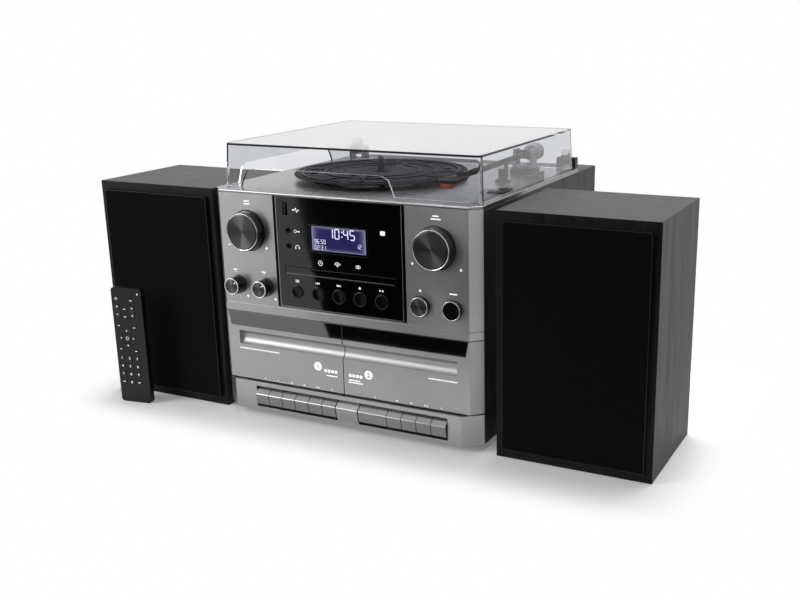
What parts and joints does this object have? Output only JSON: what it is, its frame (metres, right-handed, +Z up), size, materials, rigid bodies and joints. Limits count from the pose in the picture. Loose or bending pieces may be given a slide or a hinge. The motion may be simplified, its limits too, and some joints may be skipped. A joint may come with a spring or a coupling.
{
  "type": "stereo music centre",
  "caption": "Stereo music centre with record player under a hinged clear lid, radio and disc player, cassette decks, separate speakers and a remote control.",
  "frame": {"origin": "middle of the whole set's box, at the level that the feet, speakers and remote stand on", "axes": "+Z up, the front faces -Y, +X to the right of someone facing the front"},
  "size_m": [0.656, 0.3786, 0.2986],
  "materials": {
    "wood_grain": "black wood-grain foil",
    "deck_silver": "satin silver",
    "front_grey": "satin grey metallic",
    "panel_black": "gloss black",
    "display": "lit display glass",
    "socket_metal": "plated",
    "dark_plastic": "matt black",
    "rubber": "matt rubber",
    "board": "circuit board",
    "mechanism": "sheet metal",
    "lid_clear": "clear, slightly smoky",
    "platter_black": "satin black",
    "arm_black": "satin black",
    "cartridge_red": "red",
    "knob_dark": "gloss black with spun face",
    "shaft_brass": "turned",
    "door_silver": "satin grey metallic",
    "key_silver": "satin silver",
    "cloth": "black grille cloth",
    "driver": "black",
    "remote_dark": "charcoal"
  },
  "bodies": {
    "main_unit": {"cabinet": "wood_grain", "deck_plate": "deck_silver", "front_frame": "front_grey", "centre_panel": "panel_black", "display_module": "display", "front_sockets": "socket_metal", "key_panel": "door_silver", "feet": "rubber", "rear_panel": "dark_plastic", "rear_sockets": "socket_metal", "main_board": "board", "cd_drive": "mechanism", "tape_mechanism": "mechanism", "platter_motor": "mechanism", "tonearm_base": "arm_black", "lid_hinges": "dark_plastic", "cabinet_screws": "socket_metal", "speaker_cabinets": "wood_grain", "speaker_grilles": "cloth", "speaker_fittings": "driver", "remote_shell": "remote_dark", "remote_keypad": "rubber"},
    "lid": {"lid": "lid_clear"},
    "platter": {"platter": "platter_black", "platter_mat": "rubber"},
    "tonearm_turret": {"tonearm_gimbal": "arm_black"},
    "tonearm": {"tonearm": "arm_black", "cartridge": "cartridge_red"},
    "cue_lever": {"cue_lever": "dark_plastic"},
    "speed_switch": {"speed_switch": "dark_plastic"},
    "volume_push": {"volume_shaft": "shaft_brass"},
    "volume_knob": {"volume_knob": "knob_dark"},
    "tuning_push": {"tuning_shaft": "shaft_brass"},
    "tuning_knob": {"tuning_knob": "knob_dark"},
    "bass_knob": {"bass_knob": "knob_dark"},
    "treble_knob": {"treble_knob": "knob_dark"},
    "eject_button": {"eject_button": "knob_dark"},
    "source_button": {"source_button": "knob_dark"},
    "cd_tray": {"cd_tray": "panel_black"},
    "left_door": {"left_cassette_door": "door_silver", "left_door_window": "panel_black"},
    "right_door": {"right_cassette_door": "door_silver", "right_door_window": "panel_black"},
    "remote_battery_tray": {"remote_battery_tray": "remote_dark"},
    "menu_button": {"menu_button": "knob_dark"},
    "previous_button": {"previous_button": "knob_dark"},
    "next_button": {"next_button": "knob_dark"},
    "stop_button": {"stop_button": "knob_dark"},
    "play_button": {"play_button": "knob_dark"},
    "record_key": {"record_key": "key_silver"},
    "left_play_key": {"left_play_key": "key_silver"},
    "left_rewind_key": {"left_rewind_key": "key_silver"},
    "left_forward_key": {"left_forward_key": "key_silver"},
    "left_stop_key": {"left_stop_key": "key_silver"},
    "left_pause_key": {"left_pause_key": "key_silver"},
    "right_play_key": {"right_play_key": "key_silver"},
    "right_rewind_key": {"right_rewind_key": "key_silver"},
    "right_forward_key": {"right_forward_key": "key_silver"},
    "right_stop_key": {"right_stop_key": "key_silver"},
    "right_pause_key": {"right_pause_key": "key_silver"}
  },
  "joints": [
    {"name": "lid_hinge", "type": "hinge", "parent": "main_unit", "child": "lid", "pos_m": [-0.006, 0.1247, 0.2596], "axis": [-1, 0, 0], "range_deg": [0, 65]},
    {"name": "platter_spin", "type": "hinge", "parent": "main_unit", "child": "platter", "pos_m": [-0.03, -0.0223, 0.256], "axis": [0, 0, 1], "continuous": true},
    {"name": "tonearm_swing", "type": "hinge", "parent": "main_unit", "child": "tonearm_turret", "pos_m": [0.109, 0.0587, 0.2623], "axis": [0, 0, -1], "range_deg": [0, 43]},
    {"name": "tonearm_lift", "type": "hinge", "parent": "tonearm_turret", "child": "tonearm", "pos_m": [0.109, 0.0587, 0.2743], "axis": [-0.9995, 0.0314, 0], "range_deg": [0, 3.2]},
    {"name": "cue_lever_turn", "type": "hinge", "parent": "main_unit", "child": "cue_lever", "pos_m": [0.1342, 0.0387, 0.2563], "axis": [-1, 0, 0], "range_deg": [0, 40]},
    {"name": "speed_switch_slide", "type": "slide", "parent": "main_unit", "child": "speed_switch", "axis": [0, 1, 0], "range_m": [0, 0.008]},
    {"name": "volume_push", "type": "slide", "parent": "main_unit", "child": "volume_push", "axis": [0, 1, 0], "range_m": [0, 0.0008], "stiffness_N_per_m": 1200},
    {"name": "volume_turn", "type": "hinge", "parent": "volume_push", "child": "volume_knob", "pos_m": [-0.1185, -0.1563, 0.2095], "axis": [0, -1, 0], "continuous": true},
    {"name": "tuning_push", "type": "slide", "parent": "main_unit", "child": "tuning_push", "axis": [0, 1, 0], "range_m": [0, 0.0008], "stiffness_N_per_m": 1200},
    {"name": "tuning_turn", "type": "hinge", "parent": "tuning_push", "child": "tuning_knob", "pos_m": [0.1065, -0.1563, 0.2095], "axis": [0, -1, 0], "continuous": true},
    {"name": "bass_turn", "type": "hinge", "parent": "main_unit", "child": "bass_knob", "pos_m": [-0.1365, -0.1563, 0.1488], "axis": [0, -1, 0], "range_deg": [-140, 140]},
    {"name": "treble_turn", "type": "hinge", "parent": "main_unit", "child": "treble_knob", "pos_m": [-0.1005, -0.1563, 0.1488], "axis": [0, -1, 0], "range_deg": [-140, 140]},
    {"name": "eject_button_press", "type": "slide", "parent": "main_unit", "child": "eject_button", "axis": [0, 1, 0], "range_m": [0, 0.0008], "stiffness_N_per_m": 600},
    {"name": "source_button_press", "type": "slide", "parent": "main_unit", "child": "source_button", "axis": [0, 1, 0], "range_m": [0, 0.0008], "stiffness_N_per_m": 600},
    {"name": "menu_button_press", "type": "slide", "parent": "main_unit", "child": "menu_button", "axis": [0, 1, 0], "range_m": [0, 0.0008], "stiffness_N_per_m": 600},
    {"name": "previous_button_press", "type": "slide", "parent": "main_unit", "child": "previous_button", "axis": [0, 1, 0], "range_m": [0, 0.0008], "stiffness_N_per_m": 600},
    {"name": "next_button_press", "type": "slide", "parent": "main_unit", "child": "next_button", "axis": [0, 1, 0], "range_m": [0, 0.0008], "stiffness_N_per_m": 600},
    {"name": "stop_button_press", "type": "slide", "parent": "main_unit", "child": "stop_button", "axis": [0, 1, 0], "range_m": [0, 0.0008], "stiffness_N_per_m": 600},
    {"name": "play_button_press", "type": "slide", "parent": "main_unit", "child": "play_button", "axis": [0, 1, 0], "range_m": [0, 0.0008], "stiffness_N_per_m": 600},
    {"name": "cd_tray_slide", "type": "slide", "parent": "main_unit", "child": "cd_tray", "axis": [0, -1, 0], "range_m": [0, 0.122]},
    {"name": "left_door_hinge", "type": "hinge", "parent": "main_unit", "child": "left_door", "pos_m": [-0.081, -0.1518, 0.045], "axis": [1, 0, 0], "range_deg": [0, 30]},
    {"name": "right_door_hinge", "type": "hinge", "parent": "main_unit", "child": "right_door", "pos_m": [0.069, -0.1518, 0.045], "axis": [1, 0, 0], "range_deg": [0, 30]},
    {"name": "record_key_press", "type": "hinge", "parent": "main_unit", "child": "record_key", "pos_m": [-0.006, -0.1343, 0.024], "axis": [1, 0, 0], "range_deg": [0, 5.5], "stiffness_Nm_per_rad": 0.8, "springref_deg": -1.15},
    {"name": "left_play_key_press", "type": "hinge", "parent": "main_unit", "child": "left_play_key", "pos_m": [-0.006, -0.1343, 0.024], "axis": [1, 0, 0], "range_deg": [0, 5.5], "stiffness_Nm_per_rad": 0.8, "springref_deg": -1.15},
    {"name": "left_rewind_key_press", "type": "hinge", "parent": "main_unit", "child": "left_rewind_key", "pos_m": [-0.006, -0.1343, 0.024], "axis": [1, 0, 0], "range_deg": [0, 5.5], "stiffness_Nm_per_rad": 0.8, "springref_deg": -1.15},
    {"name": "left_forward_key_press", "type": "hinge", "parent": "main_unit", "child": "left_forward_key", "pos_m": [-0.006, -0.1343, 0.024], "axis": [1, 0, 0], "range_deg": [0, 5.5], "stiffness_Nm_per_rad": 0.8, "springref_deg": -1.15},
    {"name": "left_stop_key_press", "type": "hinge", "parent": "main_unit", "child": "left_stop_key", "pos_m": [-0.006, -0.1343, 0.024], "axis": [1, 0, 0], "range_deg": [0, 5.5], "stiffness_Nm_per_rad": 0.8, "springref_deg": -1.15},
    {"name": "left_pause_key_press", "type": "hinge", "parent": "main_unit", "child": "left_pause_key", "pos_m": [-0.006, -0.1343, 0.024], "axis": [1, 0, 0], "range_deg": [0, 5.5], "stiffness_Nm_per_rad": 0.8, "springref_deg": -1.15},
    {"name": "right_play_key_press", "type": "hinge", "parent": "main_unit", "child": "right_play_key", "pos_m": [-0.006, -0.1343, 0.024], "axis": [1, 0, 0], "range_deg": [0, 5.5], "stiffness_Nm_per_rad": 0.8, "springref_deg": -1.15},
    {"name": "right_rewind_key_press", "type": "hinge", "parent": "main_unit", "child": "right_rewind_key", "pos_m": [-0.006, -0.1343, 0.024], "axis": [1, 0, 0], "range_deg": [0, 5.5], "stiffness_Nm_per_rad": 0.8, "springref_deg": -1.15},
    {"name": "right_forward_key_press", "type": "hinge", "parent": "main_unit", "child": "right_forward_key", "pos_m": [-0.006, -0.1343, 0.024], "axis": [1, 0, 0], "range_deg": [0, 5.5], "stiffness_Nm_per_rad": 0.8, "springref_deg": -1.15},
    {"name": "right_stop_key_press", "type": "hinge", "parent": "main_unit", "child": "right_stop_key", "pos_m": [-0.006, -0.1343, 0.024], "axis": [1, 0, 0], "range_deg": [0, 5.5], "stiffness_Nm_per_rad": 0.8, "springref_deg": -1.15},
    {"name": "right_pause_key_press", "type": "hinge", "parent": "main_unit", "child": "right_pause_key", "pos_m": [-0.006, -0.1343, 0.024], "axis": [1, 0, 0], "range_deg": [0, 5.5], "stiffness_Nm_per_rad": 0.8, "springref_deg": -1.15},
    {"name": "battery_tray_slide", "type": "slide", "parent": "main_unit", "child": "remote_battery_tray", "axis": [0, 0, -1], "range_m": [0, 0.024]}
  ],
  "couplings": [
    {"joint": "tonearm_lift", "follows": "cue_lever_turn", "ratio": 0.08}
  ]
}
